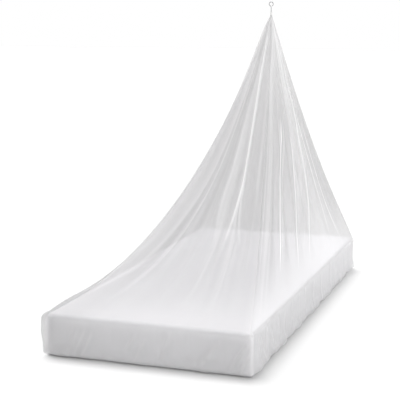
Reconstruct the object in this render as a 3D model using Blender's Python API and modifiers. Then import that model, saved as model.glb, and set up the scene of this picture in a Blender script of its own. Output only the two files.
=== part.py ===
"""Mosquito net canopy: one net, gathered at a hook above the head end and tucked in round a mattress.

Metres, +Z up, +Y from the foot end to the head end, +X to the right when seen from the foot end.
The origin is the centre of the mattress's underside, on the floor.
"""

import math
from collections import namedtuple

import bmesh
import bpy
from mathutils import Vector

# Mattress: a single one, lying on the floor.
MATTRESS_LENGTH = 2.0
MATTRESS_WIDTH = 0.9
MATTRESS_HEIGHT = 0.18
CORNER_RADIUS = 0.015  # its four upright edges, seen from above
EDGE_RADIUS = 0.014  # round its top face and its underside
BEVEL_STEPS = 4

# The net, and where it is gathered over the head end.
NECK_Y = 0.856
NECK_Z = 1.407
NECK_RADIUS = 0.0038  # inside of the gathered net
NET_THICKNESS = 0.0015
SEAT_GAP = 0.0003  # between pieces that touch

# How the net hangs. Each strip of it, from the neck to the mattress's edge, is a catenary.
SLACK_AT_NECK = 0.55  # catenary constant of a strip that drops straight down
SLACK_PER_SPAN = 0.68  # the longer the strip, the flatter it hangs
SIDE_SAG = 0.12  # share by which a strip between two corners hangs slacker than theirs
FLARE_PER_SPAN = 0.007  # how far the gathered net springs outward under the neck
FLARE_AT = 0.11  # and how far from the hook's stem it does so most
STANDS_AT_EDGE = 0.3  # share of a fold's drop that it already has where the tent lands on the mattress
EDGE_CLEARANCE = 0.002  # where the net turns over the mattress's edges
TUCK_CLEARANCE = 0.0004  # where its hem is pressed under the mattress
TUCK_ANGLE = math.radians(50)  # how far the hem goes round the lower edge

# Rows of the net's mesh, from the neck to the hem.
TENT_ROWS = (0.0, 0.025, 0.065, 0.12, 0.19, 0.28, 0.38, 0.49, 0.6, 0.71, 0.81, 0.88, 0.94, 1.0)
EDGE_ROWS = 3
DROP_ROWS = (0.6, 0.25)  # heights on the mattress's side, as shares of its straight part
TUCK_ROWS = 3
CORNER_STANDS = (0.0, 0.55, 1.0, 0.55)  # how far a corner's columns stand out, one on each of its facets' edges

# Folds of the net, in metres: where each one's crest is on its side of the mattress, going round anticlockwise
# from that side's middle; how far it stands out of the tent halfway down; how far it stands out of the
# mattress's side; and how far it is lifted before the mattress's edge, the nearer to it the larger late is.
Fold = namedtuple("Fold", "at depth drop lift late", defaults=(0.0, 1))
Side = namedtuple("Side", "faces reach length folds corner")
SIDES = (
    Side(
        faces=(0, -1),
        reach=MATTRESS_LENGTH / 2,
        length=MATTRESS_WIDTH - 2 * CORNER_RADIUS,
        folds=(
            Fold(at=-0.30, depth=0.024, drop=0.003),
            Fold(at=-0.15, depth=0.012, drop=0.002),
            Fold(at=-0.01, depth=0.016, drop=0.002),
            Fold(at=0.16, depth=0.026, drop=0.003),
            Fold(at=0.27, depth=0.012, drop=0.002),
            Fold(at=0.37, depth=0.010, drop=0.002),
        ),
        corner=Fold(at=0, depth=0.006, drop=0.004),
    ),
    Side(
        faces=(1, 0),
        reach=MATTRESS_WIDTH / 2,
        length=MATTRESS_LENGTH - 2 * CORNER_RADIUS,
        folds=(
            Fold(at=-0.78, depth=0.014, drop=0.003),
            Fold(at=-0.45, depth=0.026, drop=0.005),
            Fold(at=-0.15, depth=0.024, drop=0.004),
            Fold(at=0.10, depth=0.020, drop=0.006),
            Fold(at=0.30, depth=0.014, drop=0.005),
            Fold(at=0.50, depth=0.022, drop=0.008),
            Fold(at=0.64, depth=0.014, drop=0.006),
            Fold(at=0.77, depth=0.014, drop=0.008),
            Fold(at=0.88, depth=0.007, drop=0.006, lift=0.004, late=5),
        ),
        corner=Fold(at=0, depth=0.004, drop=0.008, lift=0.006, late=5),
    ),
    Side(
        faces=(0, 1),
        reach=MATTRESS_LENGTH / 2,
        length=MATTRESS_WIDTH - 2 * CORNER_RADIUS,
        folds=(
            Fold(at=-0.31, depth=0.010, drop=0.006),
            Fold(at=-0.12, depth=0.008, drop=0.005),
            Fold(at=0.10, depth=0.010, drop=0.007),
            Fold(at=0.29, depth=0.012, drop=0.006),
        ),
        corner=Fold(at=0, depth=0.004, drop=0.006),
    ),
    Side(
        faces=(-1, 0),
        reach=MATTRESS_WIDTH / 2,
        length=MATTRESS_LENGTH - 2 * CORNER_RADIUS,
        folds=(
            Fold(at=-0.84, depth=0.012, drop=0.007),
            Fold(at=-0.66, depth=0.018, drop=0.006),
            Fold(at=-0.45, depth=0.020, drop=0.007),
            Fold(at=-0.22, depth=0.014, drop=0.005),
            Fold(at=0.03, depth=0.022, drop=0.006),
            Fold(at=0.31, depth=0.014, drop=0.004),
            Fold(at=0.56, depth=0.015, drop=0.006),
            Fold(at=0.81, depth=0.010, drop=0.006),
        ),
        corner=Fold(at=0, depth=0.003, drop=0.020, lift=0.015, late=9),
    ),
)

# Binding round the neck, and the wire hook that stands in it.
BINDING_RADIUS = 0.0066
BINDING_BOTTOM = NECK_Z + 0.0012
BINDING_HEIGHT = 0.0155
BINDING_CAP = 0.0022
BINDING_ROUND = 0.001
WIRE_RADIUS = 0.002
RING_RADIUS = 0.0112  # of the wire's middle
RING_CENTRE_Z = 1.467
RING_MOUTH = math.radians(-66)  # where the free end stops, from +X
RING_LEAVES = math.radians(240)  # where the wire leaves the ring, to bend back into the stem
STEM_IN_BINDING = 0.009
BEND_STEPS = 6
TURN_STEPS = 20

COLOURS = {  # red, green, blue, roughness and metallic value
    "net": (0.86, 0.86, 0.87, 0.85, 0.0),
    "mattress": (0.88, 0.88, 0.9, 0.9, 0.0),
    "binding": (0.93, 0.93, 0.92, 0.6, 0.0),
    "wire": (0.55, 0.55, 0.56, 0.3, 1.0),
}

Column = namedtuple("Column", "edge outward stands fold middle")
Row = namedtuple("Row", "place fold flare")


def clear_scene():
    for old in list(bpy.data.objects):
        bpy.data.objects.remove(old)


def collection(name):
    made = bpy.data.collections.new(name)
    bpy.context.scene.collection.children.link(made)
    return made


def material(name):
    red, green, blue, roughness, metallic = COLOURS[name]
    made = bpy.data.materials.new(name)
    made.use_nodes = True
    shader = made.node_tree.nodes["Principled BSDF"]
    shader.inputs["Base Color"].default_value = (red, green, blue, 1.0)
    shader.inputs["Roughness"].default_value = roughness
    shader.inputs["Metallic"].default_value = metallic
    return made


def mesh_object(name, bm, home, finish):
    mesh = bpy.data.meshes.new(name)
    bm.to_mesh(mesh)
    bm.free()
    mesh.materials.append(finish)
    made = bpy.data.objects.new(name, mesh)
    home.objects.link(made)
    return made


def mattress(home):
    """A block with rounded upright edges, then rounded top and bottom edges."""
    bm = bmesh.new()
    bmesh.ops.create_cube(bm, size=1.0)
    bmesh.ops.scale(bm, verts=bm.verts, vec=(MATTRESS_WIDTH, MATTRESS_LENGTH, MATTRESS_HEIGHT))
    bmesh.ops.translate(bm, verts=bm.verts, vec=(0, 0, MATTRESS_HEIGHT / 2))
    rounding = {"offset_type": "OFFSET", "segments": BEVEL_STEPS, "profile": 0.5, "affect": "EDGES"}
    upright = [edge for edge in bm.edges if abs(edge.verts[0].co.z - edge.verts[1].co.z) > SEAT_GAP]
    bmesh.ops.bevel(bm, geom=upright, offset=CORNER_RADIUS, **rounding)
    rims = [edge for edge in bm.edges if abs(edge.verts[0].co.z - edge.verts[1].co.z) < SEAT_GAP]
    bmesh.ops.bevel(bm, geom=rims, offset=EDGE_RADIUS, **rounding)
    made = mesh_object("mattress", bm, home, material("mattress"))
    made.data.shade_smooth()
    return made


def side_stations(side):
    """Where a side's columns stand along it: each fold's valley, rise, crest and fall."""
    crests = [fold.at for fold in side.folds]
    valleys = [-side.length / 2, *((a + b) / 2 for a, b in zip(crests, crests[1:])), side.length / 2]
    stations = []
    for fold, valley, after in zip(side.folds, valleys, valleys[1:]):
        rise, fall = (valley + fold.at) / 2, (fold.at + after) / 2
        stations += [(valley, 0.0, fold), (rise, 0.5, fold), (fold.at, 1.0, fold), (fall, 0.5, fold)]
    return stations


def columns():
    """Where the net's columns of vertices leave the mattress's outline: along each side, then round its corner."""
    made = []
    for side in SIDES:
        outward = Vector(side.faces)
        onward = Vector((-outward.y, outward.x))
        middle = outward * (side.reach - CORNER_RADIUS)
        for along, stands, fold in side_stations(side):
            edge = middle + onward * along + outward * CORNER_RADIUS
            between = math.cos(math.pi * along / side.length)
            made.append(Column(edge, outward, stands, fold, between))
        for step, stands in enumerate(CORNER_STANDS):
            angle = math.pi / 2 * step / BEVEL_STEPS
            swung = outward * math.cos(angle) + onward * math.sin(angle)
            edge = middle + onward * side.length / 2 + swung * CORNER_RADIUS
            made.append(Column(edge, swung, stands, side.corner, 0.0))
    return made


def hang(span, fall, slack):
    """A catenary from the neck: its height under the neck at a share of the span, and its slope at the end."""
    lowest = span / 2 + slack * math.asinh(fall / (2 * slack * math.sinh(span / (2 * slack))))

    def under(share):
        return slack * (math.cosh(lowest / slack) - math.cosh((lowest - share * span) / slack))

    return under, math.sinh((lowest - span) / slack)


def strip(column):
    """The net's inner face along one column, before it is folded."""
    neck = Vector((0, NECK_Y))
    edge_z = MATTRESS_HEIGHT - EDGE_RADIUS
    over = EDGE_RADIUS + EDGE_CLEARANCE
    inset = column.edge - column.outward * EDGE_RADIUS
    drop = column.fold.drop
    lean = math.pi / 4
    for _ in range(6):  # the strip meets the rounded edge where their slopes agree
        lands = inset + column.outward * over * math.cos(lean)
        lands_z = edge_z + over * math.sin(lean)
        towards = (lands - neck).normalized()
        span = (lands - neck).length - NECK_RADIUS
        slack = (SLACK_AT_NECK + SLACK_PER_SPAN * span) * (1 - SIDE_SAG * column.middle)
        under, slope = hang(span, NECK_Z - lands_z, slack)
        lean = math.atan2(max(towards.dot(column.outward), 0.05), max(slope, 0.02))

    def row(flat, height, fold=0.0, flare=0.0):
        return Row(Vector((flat.x, flat.y, height)), fold, flare)

    rows = [row(neck + towards * NECK_RADIUS, BINDING_BOTTOM + BINDING_HEIGHT - BINDING_CAP - SEAT_GAP)]
    for share in TENT_ROWS:
        fold = column.fold.depth * math.sin(math.pi * share) ** 2 + drop * STANDS_AT_EDGE * share**6
        fold += column.fold.lift * math.sin(math.pi * share**column.fold.late)
        far = span * share / FLARE_AT
        flare = FLARE_PER_SPAN * span * far * math.exp(1 - far) * (1 - share)
        rows.append(row(neck + towards * (NECK_RADIUS + span * share), NECK_Z - under(share), fold, flare))
    for step in range(1, EDGE_ROWS + 1):
        share = step / EDGE_ROWS
        flat = inset + column.outward * over * math.cos(lean * (1 - share))
        fold = drop * (STANDS_AT_EDGE + (1 - STANDS_AT_EDGE) * share**1.5)
        rows.append(row(flat, edge_z + over * math.sin(lean * (1 - share)), fold))
    for share in DROP_ROWS:
        height = EDGE_RADIUS + share * (edge_z - EDGE_RADIUS)
        rows.append(row(inset + column.outward * over, height, drop * (0.5 + share)))
    for step in range(TUCK_ROWS + 1):
        share = step / TUCK_ROWS
        clear = EDGE_RADIUS + EDGE_CLEARANCE + (TUCK_CLEARANCE - EDGE_CLEARANCE) * share
        flat = inset + column.outward * clear * math.cos(TUCK_ANGLE * share)
        height = EDGE_RADIUS - clear * math.sin(TUCK_ANGLE * share)
        rows.append(row(flat, height, 0.5 * drop * (1 - share) ** 2))
    return rows


def folded(around):
    """The points of the net's inner face: each strip's rows moved out along the unfolded face's own normal."""
    strips = [strip(column) for column in around]
    grid = []
    for i, (column, rows) in enumerate(zip(around, strips)):
        before, after = strips[i - 1], strips[(i + 1) % len(strips)]
        line = []
        for j, here in enumerate(rows):
            down = rows[min(j + 1, len(rows) - 1)].place - rows[max(j - 1, 0)].place
            across = after[j].place - before[j].place
            out = down.cross(across).normalized()
            line.append(here.place + out * (here.fold * column.stands + here.flare))
        grid.append(line)
    return grid


def net(home):
    """One sheet: the gathered neck, the tent, the turn over the mattress's edge, and the tucked hem."""
    bm = bmesh.new()
    points = [[bm.verts.new(point) for point in line] for line in folded(columns())]
    for i, line in enumerate(points):
        after = points[(i + 1) % len(points)]
        for j in range(len(line) - 1):
            bm.faces.new((line[j], line[j + 1], after[j + 1], after[j]))
    made = mesh_object("net_canopy", bm, home, material("net"))
    made.data.shade_smooth()
    wall = made.modifiers.new("Thickness", "SOLIDIFY")
    wall.thickness = NET_THICKNESS
    wall.offset = 1.0
    return made


def binding(home):
    """A turned cap over the gathered neck, with a hole in its top for the hook's stem."""
    inside = NECK_RADIUS + NET_THICKNESS + SEAT_GAP
    hole = WIRE_RADIUS + SEAT_GAP
    top = BINDING_BOTTOM + BINDING_HEIGHT
    profile = (
        (hole, top),
        (BINDING_RADIUS - BINDING_ROUND, top),
        (BINDING_RADIUS, top - BINDING_ROUND),
        (BINDING_RADIUS, BINDING_BOTTOM),
        (inside, BINDING_BOTTOM),
        (inside, top - BINDING_CAP),
        (hole, top - BINDING_CAP),
    )
    bm = bmesh.new()
    corners = [bm.verts.new((radius, 0, height)) for radius, height in profile]
    for first, second in zip(corners, corners[1:] + corners[:1]):
        bm.edges.new((first, second))
    made = mesh_object("neck_binding", bm, home, material("binding"))
    made.location = (0, NECK_Y, 0)
    turned = made.modifiers.new("Turned", "SCREW")
    turned.steps = turned.render_steps = TURN_STEPS
    turned.use_merge_vertices = True
    turned.merge_threshold = 0.00001
    return made


def arc(centre, start, end, steps):
    """Points of the wire's middle round a centre, seen from the foot end; angles go from +X towards +Z."""
    angles = [start + (end - start) * step / steps for step in range(steps + 1)]
    return [centre + Vector((math.cos(angle), math.sin(angle))) * RING_RADIUS for angle in angles]


def hook_route():
    """The wire's middle: from its free end round the ring, back through a bend as round as it, and down the stem."""
    ring = Vector((0, RING_CENTRE_Z))
    leaves = Vector((math.cos(RING_LEAVES), math.sin(RING_LEAVES)))
    route = arc(ring, RING_MOUTH, RING_LEAVES, TURN_STEPS)
    route += arc(ring + leaves * 2 * RING_RADIUS, RING_LEAVES - math.pi, 0, BEND_STEPS)[1:]
    route.append(Vector((0, BINDING_BOTTOM + BINDING_HEIGHT - STEM_IN_BINDING)))
    return [(across, NECK_Y, height) for across, height in route]


def hook(home):
    """A bent wire hook: an open ring that goes over whatever holds it, and a stem down into the binding."""
    curve = bpy.data.curves.new("hanging_hook", "CURVE")
    curve.dimensions = "3D"
    curve.bevel_depth = WIRE_RADIUS
    curve.bevel_resolution = 2
    curve.use_fill_caps = True
    route = hook_route()
    spline = curve.splines.new("POLY")
    spline.points.add(len(route) - 1)
    for point, place in zip(spline.points, route):
        point.co = (*place, 1.0)
    curve.materials.append(material("wire"))
    made = bpy.data.objects.new("hanging_hook", curve)
    home.objects.link(made)
    return made


def main():
    clear_scene()
    home = collection("mosquito_net_canopy")
    mattress(home)
    net(home)
    binding(home)
    hook(home)


main()
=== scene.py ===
"""Mosquito net canopy: its sheer net with folds, creases and bunching, the mattress, the binding and the hook.

Metres, +Z up, +Y from the foot end to the head end, +X to the right when seen from the foot end. Everything
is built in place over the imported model, which gives the sizes that the pieces share.
"""

import math
from collections import namedtuple

import bpy
import numpy as np
from bpy.props import FloatProperty, FloatVectorProperty, IntProperty, PointerProperty
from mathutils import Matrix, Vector


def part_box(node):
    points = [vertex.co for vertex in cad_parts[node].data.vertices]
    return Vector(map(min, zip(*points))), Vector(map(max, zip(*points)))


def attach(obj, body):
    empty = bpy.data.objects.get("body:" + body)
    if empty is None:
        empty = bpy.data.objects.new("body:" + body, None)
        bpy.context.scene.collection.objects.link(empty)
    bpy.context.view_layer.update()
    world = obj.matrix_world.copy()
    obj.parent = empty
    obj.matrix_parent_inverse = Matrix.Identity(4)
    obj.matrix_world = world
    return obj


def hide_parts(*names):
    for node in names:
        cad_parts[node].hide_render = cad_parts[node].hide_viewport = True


bl_info = {
    "name": "Mosquito Net Canopy",
    "version": (1, 0, 0),
    "blender": (4, 5, 0),
    "location": "3D View > Sidebar > Canopy",
    "description": "Builds a sheer bed canopy hung from a hook over a single mattress",
    "category": "Add Mesh",
}

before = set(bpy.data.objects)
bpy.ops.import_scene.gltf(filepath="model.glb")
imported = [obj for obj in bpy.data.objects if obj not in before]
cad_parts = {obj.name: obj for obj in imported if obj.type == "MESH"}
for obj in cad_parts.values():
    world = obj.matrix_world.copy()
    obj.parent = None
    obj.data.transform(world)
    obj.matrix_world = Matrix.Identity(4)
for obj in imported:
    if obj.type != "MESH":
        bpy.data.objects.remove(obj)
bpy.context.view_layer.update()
MATTRESS_LOW, MATTRESS_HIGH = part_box("mattress")
BINDING_LOW, BINDING_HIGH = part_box("neck_binding")

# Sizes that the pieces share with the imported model.
MATTRESS_WIDTH = MATTRESS_HIGH.x - MATTRESS_LOW.x
MATTRESS_LENGTH = MATTRESS_HIGH.y - MATTRESS_LOW.y
MATTRESS_HEIGHT = MATTRESS_HIGH.z
CORNER_RADIUS = 0.015
EDGE_RADIUS = 0.014
NECK_Y = 0.856
NECK_Z = 1.407
NECK_RADIUS = 0.0038

# How the net hangs. Each strip of it, from the neck to the mattress's edge, is a catenary.
SLACK_AT_NECK = 0.55  # catenary constant of a strip that drops straight down
SLACK_PER_SPAN = 0.68  # the longer the strip, the flatter it hangs
SIDE_SAG = 0.12  # share by which a strip between two corners hangs slacker than theirs
FLARE_PER_SPAN = 0.007  # how far the gathered net springs outward under the neck
FLARE_AT = 0.11  # and how far from the hook's stem it does so most
STANDS_AT_EDGE = 0.3  # share of a fold's drop that it already has where the tent lands on the mattress
SIDE_BULGE = (0, 0.25, 0.6, 1), (0.5, 0.75, 1.1, 1.0)  # heights up the mattress's side, and shares of the drop there
EDGE_CLEARANCE = 0.002
TUCK_CLEARANCE = 0.0004
TUCK_ANGLE = math.radians(50)  # how far the hem goes round the lower edge
NET_UNDER_TOP = 0.0026  # upper end of the gathered net, under the binding's top
NET_MIDDLE = 0.00075  # middle of the cloth, out from the inner face of its solid

# How finely the net is drawn.
COLUMN_SPACING = {"foot": 0.005, "right": 0.005, "head": 0.0075, "left": 0.0075}  # along the mattress's edge
CORNER_COLUMNS = 12
TENT_STEPS = 60
CLOSER_AT_NECK = 1.5  # the larger, the closer together the tent's rows are under the neck
EDGE_STEPS = 6
DROP_STEPS = 20
TUCK_STEPS = 5
LANDING_TRIES = 8
LEAST_FACING = 0.05  # where a strip runs along the edge rather than over it
LEAST_SLOPE = 0.02

# Where on a strip, as shares of it from the neck, the cloth's ways come in and go: 1 is the mattress's edge, and 2 is
# the foot of its side.
LEAST_SHARE = 0.012  # where the gathers are counted from
GATHERS_EVEN = 0.1, 0.5  # towards the neck, spare cloth keeps to the fuller sides
FOLDED_ROUND = 0.94, 1.06
# Where the net is drawn paler by painted light, over the top and round the edge where it lies on the cover.
PAINTED_COVER_LIGHT_ON_TOP = 0.7, 1.0
PAINTED_COVER_LIGHT_OVER_EDGE = 1.02, 1.12
CORNERS_BUNCH = 1.0, 1.08
SIDE_COMES, SIDE_GOES = (1.05, 1.2), (1.95, 2.2)
HEM_COMES, HEM_GOES = (1.7, 1.98), (2.0, 2.3)

# The cut net: four gores joined into one cloth as wide as its hem is long, each narrower towards the neck.
CUT_WIDTH = 5.9
GATHER_AT_NECK = 0.10  # width of the cut at the neck, as a share of its width at the hem

# Folds, in metres: where each one's crest is on its side of the mattress, going round anticlockwise from that side's
# middle; how far it stands out of the tent halfway down; how far it stands out of the mattress's side; and how far
# it is lifted before the mattress's edge, the nearer to it the larger late is.
Fold = namedtuple("Fold", "at depth drop lift late", defaults=(0.0, 1))
Side = namedtuple("Side", "faces reach length folds corner")


def mattress_side(faces, folds, corner):
    """A side of the mattress: how far out and how long it is, its folds, and the fold round its far corner."""
    reach, length = MATTRESS_WIDTH / 2, MATTRESS_LENGTH
    if faces[0] == 0:
        reach, length = MATTRESS_LENGTH / 2, MATTRESS_WIDTH
    return Side(faces, reach, length - 2 * CORNER_RADIUS, folds, corner)


def table(kind, sides):
    """The rows of a table that is written side by side of the mattress."""
    return [kind(name, *row) for name, rows in sides.items() for row in rows]


SIDES = {
    "foot": mattress_side(
        (0, -1), corner=Fold(0, 0.006, 0.004), folds=(
            Fold(-0.30, 0.024, 0.003), Fold(-0.15, 0.012, 0.002), Fold(-0.01, 0.016, 0.002),
            Fold(0.16, 0.026, 0.003), Fold(0.27, 0.012, 0.002), Fold(0.37, 0.010, 0.002),
        ),
    ),
    "right": mattress_side(
        (1, 0), corner=Fold(0, 0.004, 0.008, lift=0.006, late=5), folds=(
            Fold(-0.78, 0.014, 0.001), Fold(-0.45, 0.026, 0.002), Fold(-0.15, 0.024, 0.002),
            Fold(0.10, 0.020, 0.002), Fold(0.30, 0.014, 0.002), Fold(0.50, 0.022, 0.003),
            Fold(0.64, 0.014, 0.002), Fold(0.77, 0.014, 0.003), Fold(0.88, 0.007, 0.003, lift=0.004, late=5),
        ),
    ),
    "head": mattress_side(
        (0, 1), corner=Fold(0, 0.004, 0.006), folds=(
            Fold(-0.31, 0.010, 0.006), Fold(-0.12, 0.008, 0.005), Fold(0.10, 0.010, 0.007),
            Fold(0.29, 0.012, 0.006),
        ),
    ),
    "left": mattress_side(
        (-1, 0), corner=Fold(0, 0.003, 0.020, lift=0.015, late=9), folds=(
            Fold(-0.84, 0.012, 0.007), Fold(-0.66, 0.018, 0.006), Fold(-0.45, 0.020, 0.007),
            Fold(-0.22, 0.014, 0.005), Fold(0.03, 0.022, 0.006), Fold(0.31, 0.014, 0.004),
            Fold(0.56, 0.015, 0.006), Fold(0.81, 0.010, 0.006),
        ),
    ),
}

# Creases, where the cloth is bunched into a soft ridge: the side it runs on, the ridge's half width and height in
# metres, how densely the cloth is bunched, which also sets the painted highlight along it, and its route as (share
# of the strip from the neck, place on the side).
# The net's columns follow the creases, so each side lists them in the order in which they stand on it.
Crease = namedtuple("Crease", "side width height bunch route")
CREASES = table(Crease, {
    "foot": (
        (0.013, 0.003, 0.2, (
            (0.10, -0.27), (0.24, -0.26), (0.36, -0.25), (0.56, -0.29), (0.72, -0.33), (0.88, -0.42),
        )),
        (0.010, 0.002, 0.14, (
            (0.14, -0.21), (0.24, -0.20), (0.36, -0.19), (0.56, -0.21), (0.72, -0.24), (0.88, -0.28),
        )),
        (0.008, 0.002, 0.3, (
            (0.20, -0.06), (0.27, -0.03), (0.36, -0.005), (0.44, 0.0), (0.52, 0.03), (0.6, 0.07),
        )),
        (0.0055, 0.003, 0.75, (
            (0.03, 0.15), (0.10, 0.12), (0.2, 0.14), (0.3, 0.17), (0.4, 0.19), (0.5, 0.178), (0.64, 0.168),
        )),
        (0.005, 0.002, 0.35, ((0.4, 0.20), (0.5, 0.225), (0.62, 0.29))),
        (0.008, 0.002, 0.25, ((0.14, 0.45), (0.25, 0.405), (0.36, 0.385), (0.52, 0.38))),
    ),
    "right": (
        (0.0055, 0.003, 2.0, ((0.355, -0.215), (0.43, -0.35), (0.55, -0.44), (0.65, -0.48), (0.8, -0.53))),
        (0.006, 0.003, 0.9, ((0.42, 0.19), (0.52, 0.09), (0.62, 0.01), (0.73, -0.09), (0.88, -0.18))),
        (0.012, 0.003, 0.7, (
            (0.03, 0.40), (0.11, 0.62), (0.22, 0.60), (0.34, 0.57), (0.44, 0.48), (0.56, 0.42), (0.7, 0.29),
            (0.88, 0.07),
        )),
        (0.005, 0.002, 0.5, ((0.40, 0.62), (0.5, 0.62), (0.62, 0.61), (0.73, 0.60), (0.88, 0.58))),
        (0.006, 0.002, 0.5, ((0.45, 0.74), (0.6, 0.72), (0.75, 0.71), (0.93, 0.75))),
    ),
})
CREASE_COMES = np.array((-0.08, 0.03))  # over which shares of the strip a crease comes up, from its route's start
CREASE_GOES = np.array((-0.16, 0.04))  # and over which it dies away, from its end
CREASE_NARROWS = 0.12  # nearer to the neck than this share of the strip, a crease is narrower too
CREASE_GAP = 0.01  # least distance between the columns of two neighbouring creases, along the outline
FLAT_BY_CREASE = 0.04  # to this far from a crease the cloth is drawn tight, and its folds are flatter
TIGHT_FOLD = 0.005
CORNER_BUNCH = 0.4  # spare cloth gathers at the mattress's corners, where the net is tucked round them, and is painted whiter there
CORNER_SPREAD = 0.006

# Pleats that spring from the gathered neck and die away, drawn at random from a fixed seed: soft broad ones, then
# fine ones. Their number; the ranges of their half widths and of the shares of the strip at which they end; their
# depth, as a share of the panel's; and how far they draw the cloth together.
PLEAT_SEED = 7
Pleats = namedtuple("Pleats", "count widths ends depth tight")
PLEATS = (
    Pleats(70, (0.008, 0.024), (0.55, 1.0), 0.8, 0.35),
    Pleats(80, (0.004, 0.007), (0.3, 0.95), 0.15, 0.25),
)
PLEAT_STRENGTHS = 0.2, 1.0
PLEAT_BUNCHES = -0.5, 1.0  # a pleat thins the cloth or draws it together
PLEAT_GOES = np.array((-0.35, 0.05))  # over which shares of the strip a pleat dies away, from its end
PLEAT_GROWS = (0, 0.02, 0.12), (0.1, 0.3, 1)  # shares of the strip, and shares of a pleat's depth there
RIPPLES = 20  # faint waves along the mattress's sides, each with its number of turns round the outline
RIPPLE_TURNS = 60, 220
RIPPLE_STARTS = 6.3  # each starts anywhere in a whole turn
RIPPLE_DEPTH = 0.0004

# Wrinkles where the net lies down the mattress's sides: from (place, height) to (place, height), half width, depth.
Wrinkle = namedtuple("Wrinkle", "side start end width depth")
WRINKLES = table(Wrinkle, {
    "foot": (
        ((-0.31, 0.115), (-0.348, 0.025), 0.009, 0.0043), ((-0.282, 0.11), (-0.315, 0.035), 0.008, 0.0036),
        ((-0.247, 0.11), (-0.282, 0.03), 0.009, 0.0043), ((-0.055, 0.125), (-0.09, 0.065), 0.011, 0.0036),
        ((-0.01, 0.11), (-0.04, 0.045), 0.010, 0.0029), ((0.10, 0.15), (0.06, 0.05), 0.014, 0.0029),
        ((0.30, 0.13), (0.24, 0.05), 0.013, 0.0032), ((0.42, 0.13), (0.36, 0.04), 0.011, 0.0043),
        ((0.43, 0.09), (0.40, 0.02), 0.008, 0.0038),
    ),
    "right": (
        ((-0.94, 0.15), (-0.90, 0.04), 0.011, 0.0046), ((-0.90, 0.14), (-0.84, 0.04), 0.013, 0.0043),
        ((-0.80, 0.16), (-0.79, 0.05), 0.010, 0.0038), ((-0.74, 0.13), (-0.69, 0.03), 0.011, 0.0043),
        ((-0.62, 0.16), (-0.60, 0.04), 0.011, 0.0035), ((-0.52, 0.15), (-0.53, 0.03), 0.010, 0.0032),
        ((-0.40, 0.16), (-0.37, 0.03), 0.011, 0.0038), ((-0.27, 0.15), (-0.27, 0.04), 0.010, 0.0032),
        ((-0.16, 0.16), (-0.13, 0.03), 0.011, 0.0035), ((0.02, 0.16), (0.02, 0.03), 0.011, 0.0032),
        ((0.17, 0.15), (0.20, 0.03), 0.011, 0.0032), ((0.40, 0.16), (0.41, 0.03), 0.011, 0.0029),
    ),
})
WRINKLE_COMES = np.array((-0.03, 0.02))  # over which length a wrinkle comes up, and dies away at its other end
PAINTED_WRINKLE_SHADE = 0.5  # extra net layers that a wrinkle lays along its lower flank: a painted shade, darker there
WRINKLE_TURN = 0.7  # middle and width of that painted shade, times the wrinkle's half width
HEM_WAVES = ((0.31, 0.0075), (0.127, 0.0060), (0.053, 0.0016))  # length and height of the waves along the tucked hem

# How the net looks at places round the mattress: how much spare cloth it has; how much painted light makes it
# paler than its threads on its way down from the neck; how much painted light makes it paler where it lies against
# the white cover; and how many more layers of it are folded there round the mattress's edge.
Spare = namedtuple("Spare", "side at full pale lies folded")
SPARE = table(Spare, {
    "foot": (
        (-0.435, 0.8, 0.2, 0.45, 0.3), (-0.418, 1.3, 0.08, 0.48, 0.0), (-0.34, 1.28, 0.0, 0.55, 0.0),
        (-0.25, 1.02, 0.0, 0.6, 0.0), (0.10, 1.0, 0.0, 0.72, 0.0), (0.40, 1.0, 0.0, 0.62, 0.0),
    ),
    "right": (
        (-0.95, 0.95, 0.1, 1.3, 0.0), (-0.5, 0.9, 0.18, 1.15, 0.0), (0.0, 0.72, 0.3, 1.05, 0.0),
        (0.45, 0.55, 0.38, 0.95, 0.0), (0.85, 0.6, 0.15, 0.9, 0.0),
    ),
    "head": ((0.0, 0.6, 0.0, 0.5, 0.0),),
    "left": (
        (-0.8, 0.8, 0.15, 0.3, 0.0), (-0.4, 0.85, 0.2, 0.15, 0.1), (0.3, 0.95, 0.2, 0.0, 0.5),
        (0.85, 0.75, 0.35, 0.0, 1.0), (0.97, 0.6, 0.6, 0.0, 2.4),
    ),
})
PAINTED_HIGHLIGHT_PER_LAYER = 1.0  # how soon the cloth is painted whiter, a painted highlight, where its layers lie together in a crease
PAINTED_HIGHLIGHT_AT_NECK = 0.17  # how soon it is painted whiter where all of it is gathered
MOST_AT_NECK = 1.8  # and the most gathered layers that count for that painted highlight
PAINTED_LIGHT_OVER_TOP = 0.3  # share of its painted light on the cover that the net has just before it reaches the edge
LEAST_LAYERS = 0.55  # the thinnest that a pleat draws the cloth
THREAD_PASSES = 0.4  # share of the light on a thread that goes through it
TURNED_AWAY = 0.6  # share by which cloth seen edge on looks closer
WEAVE_LAYERS = 0.5, 0.75  # layers that a thread's middle adds, and layers between threads

# The scene's own camera, at the viewpoint that shows the canopy from its foot end and right side.
CAMERA_AT = (1.581, -4.887, 1.399)
CAMERA_TURN = math.radians(19.12)
CAMERA_DIP = math.radians(9.67)
CAMERA_LENS = 96.8
SENSOR = 36.0

# Soft lights: each sun's name, its setting on the panel, its direction and its width in degrees, then the softbox.
SUNS = (
    ("key_above", "key", (0.24, -0.34, -1.0), 36),
    ("fill_left", "fill", (1.0, -0.15, -0.35), 60),
    ("fill_front", "fill", (-0.72, 0.75, -0.2), 90),
)
SOFTBOX_AT = (2.4, 2.2, 1.1)
SOFTBOX_AIM = (0.3, 0.85, 0.35)
SOFTBOX_WIDTH = 1.6
FLOOR_WIDTH = 80.0

# Mattress: how far apart its faces are cut, how deep its cover sinks in softly, and how far its rims are drawn in.
MATTRESS_CUTS = (0.03, 0.03, 0.026)
CUTS_SHIFT = 0.00037  # keeps the cuts off the block's own edges
RUMPLE = 0.0012
RIM_DRAWN_IN = 0.0022
BEVEL_STEPS = 6

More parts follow.
